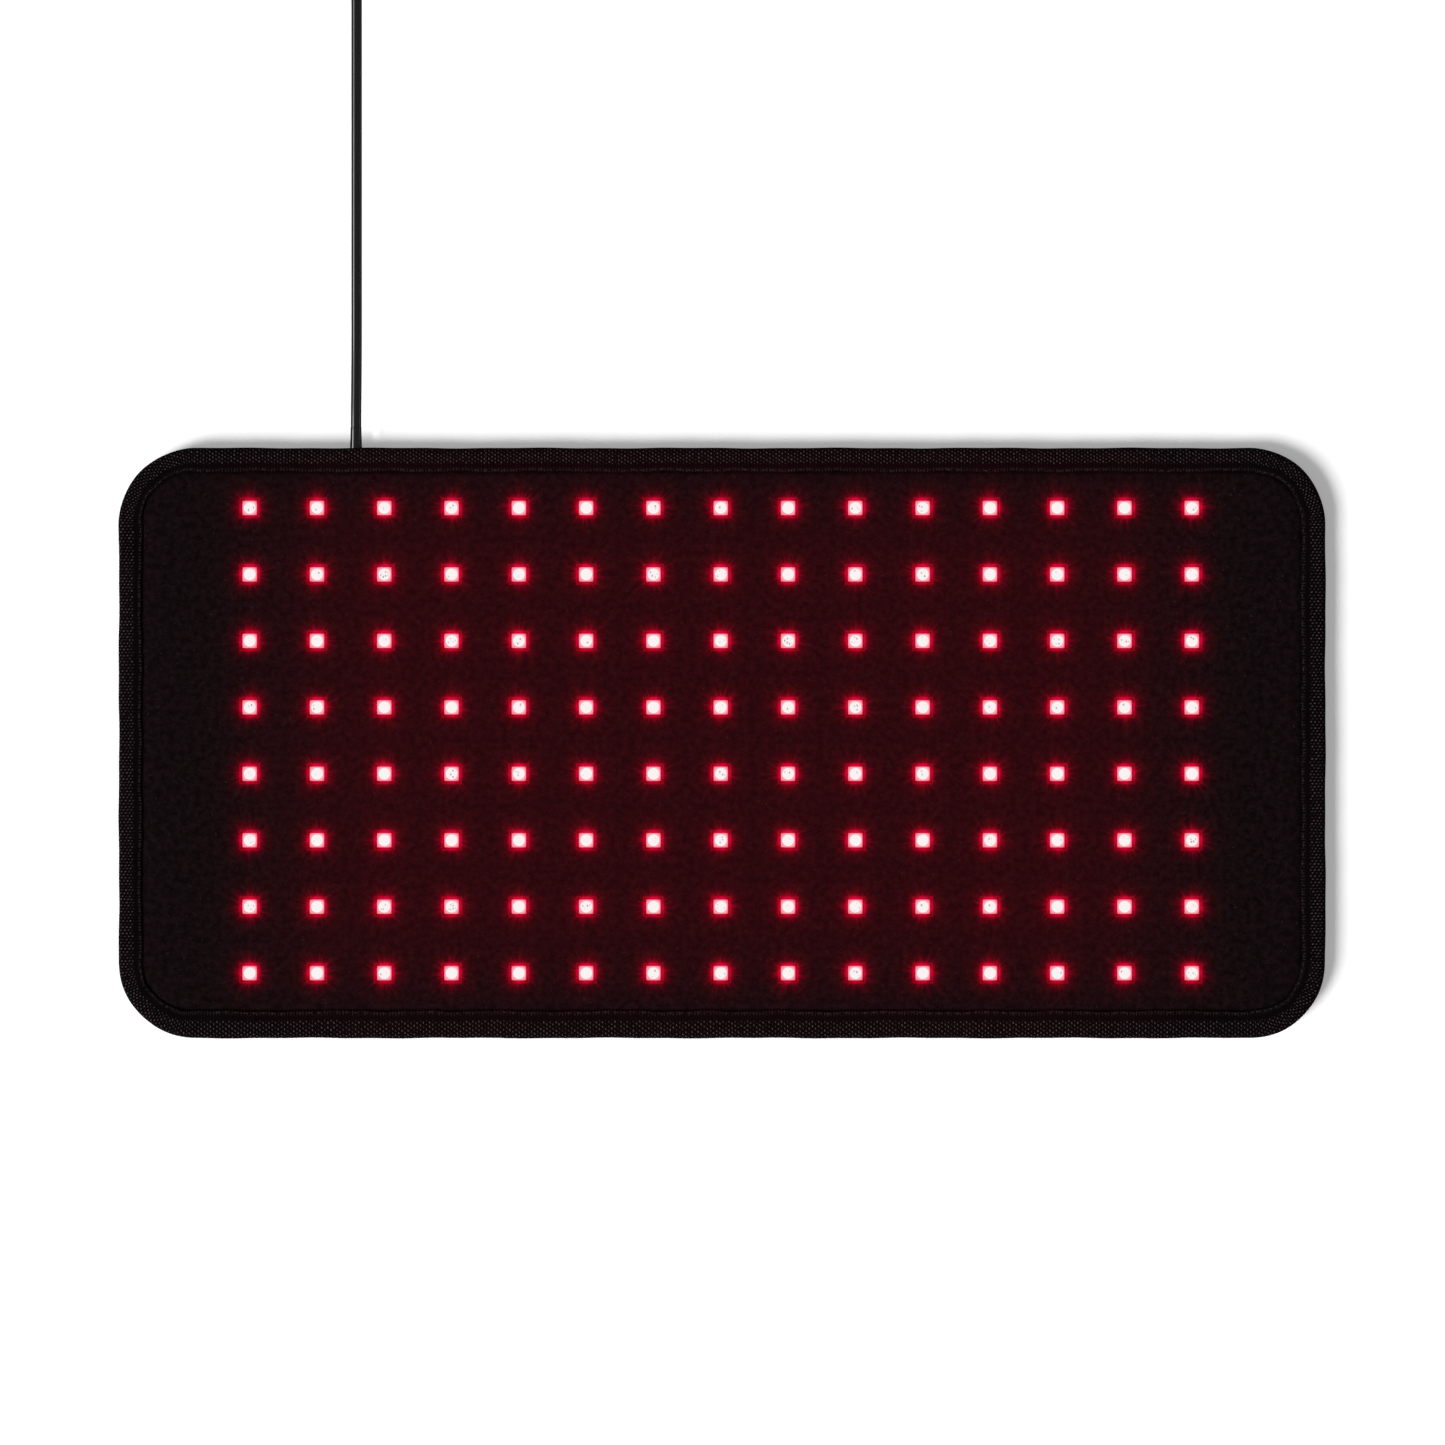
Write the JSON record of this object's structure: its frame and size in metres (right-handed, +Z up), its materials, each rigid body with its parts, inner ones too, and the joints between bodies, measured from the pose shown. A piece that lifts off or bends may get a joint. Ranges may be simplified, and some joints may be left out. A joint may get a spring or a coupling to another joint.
{
  "type": "red light therapy wrap",
  "caption": "Flexible bound fabric pad with rows of square red LEDs behind windows, loop-pile back, and a lead with in-line controller and supply plug.",
  "frame": {"origin": "middle of the pad's outline, on the surface that its loop-pile back lies on", "axes": "+X along the pad's long side, to the right when the LEDs face the viewer and the lead leaves at the top; +Y towards the edge that the lead leaves; +Z up, the way the LEDs shine"},
  "size_m": [0.43, 0.4474, 0.0149],
  "materials": {
    "front_fabric": "fine matt knit, black, tinted red by the light",
    "loop_pile": "black loop pile",
    "foam": "dark closed-cell foam",
    "tape": "black herringbone tape",
    "thread": "black sewing thread",
    "led_package": "white moulded package, lit red",
    "led_lens": "clear resin over the chips, lit",
    "board": "solder mask",
    "lead_sheath": "smooth semi-gloss black sheath",
    "case_plastic": "fine grain moulded black",
    "button_rubber": "matt grey silicone",
    "clear_plastic": "clear light pipe",
    "screw_steel": "plated",
    "contact_metal": "nickel plated contact"
  },
  "bodies": {
    "panel_1": {"front_cover_1": "front_fabric", "back_cover_1": "loop_pile", "foam_core_1": "foam", "binding_left": "tape", "led_strip_01": "led_package", "led_strip_02": "led_package", "led_strip_03": "led_package", "terminal_block": "board", "lead_relief": "lead_sheath", "cord_lead": "lead_sheath", "cord_coil": "lead_sheath", "coil_tie": "tape", "cord_run": "lead_sheath", "inlet_relief": "lead_sheath", "controller_top": "case_plastic", "controller_bottom": "case_plastic", "circuit_board": "board", "light_pipe": "clear_plastic", "case_screw_1": "screw_steel", "case_screw_2": "screw_steel", "outlet_relief": "lead_sheath", "cord_tail": "lead_sheath", "plug_body": "lead_sheath", "plug_sleeve": "contact_metal", "plug_core": "case_plastic"},
    "panel_2": {"front_cover_2": "front_fabric", "back_cover_2": "loop_pile", "foam_core_2": "foam", "binding_top_2": "tape", "binding_bottom_2": "tape", "led_strip_04": "led_package", "led_strip_05": "led_package", "led_strip_06": "led_package"},
    "panel_3": {"front_cover_3": "front_fabric", "back_cover_3": "loop_pile", "foam_core_3": "foam", "binding_top_3": "tape", "binding_bottom_3": "tape", "led_strip_07": "led_package", "led_strip_08": "led_package", "led_strip_09": "led_package"},
    "panel_4": {"front_cover_4": "front_fabric", "back_cover_4": "loop_pile", "foam_core_4": "foam", "binding_top_4": "tape", "binding_bottom_4": "tape", "led_strip_10": "led_package", "led_strip_11": "led_package", "led_strip_12": "led_package"},
    "panel_5": {"front_cover_5": "front_fabric", "back_cover_5": "loop_pile", "foam_core_5": "foam", "binding_right": "tape", "led_strip_13": "led_package", "led_strip_14": "led_package", "led_strip_15": "led_package"},
    "power_key": {"power_button": "button_rubber"},
    "timer_key": {"timer_button": "button_rubber"}
  },
  "joints": [
    {"name": "bend_1", "type": "hinge", "parent": "panel_1", "child": "panel_2", "pos_m": [-0.1085, 0, 0.0076], "axis": [0, -1, 0], "range_deg": [0, 60]},
    {"name": "bend_2", "type": "hinge", "parent": "panel_2", "child": "panel_3", "pos_m": [-0.0365, 0, 0.0076], "axis": [0, -1, 0], "range_deg": [0, 60]},
    {"name": "bend_3", "type": "hinge", "parent": "panel_3", "child": "panel_4", "pos_m": [0.0355, 0, 0.0076], "axis": [0, -1, 0], "range_deg": [0, 60]},
    {"name": "bend_4", "type": "hinge", "parent": "panel_4", "child": "panel_5", "pos_m": [0.1075, 0, 0.0076], "axis": [0, -1, 0], "range_deg": [0, 60]},
    {"name": "power_press", "type": "slide", "parent": "panel_1", "child": "power_key", "axis": [0, 0, -1], "range_m": [0, 0.0006], "stiffness_N_per_m": 300},
    {"name": "timer_press", "type": "slide", "parent": "panel_1", "child": "timer_key", "axis": [0, 0, -1], "range_m": [0, 0.0006], "stiffness_N_per_m": 300}
  ]
}
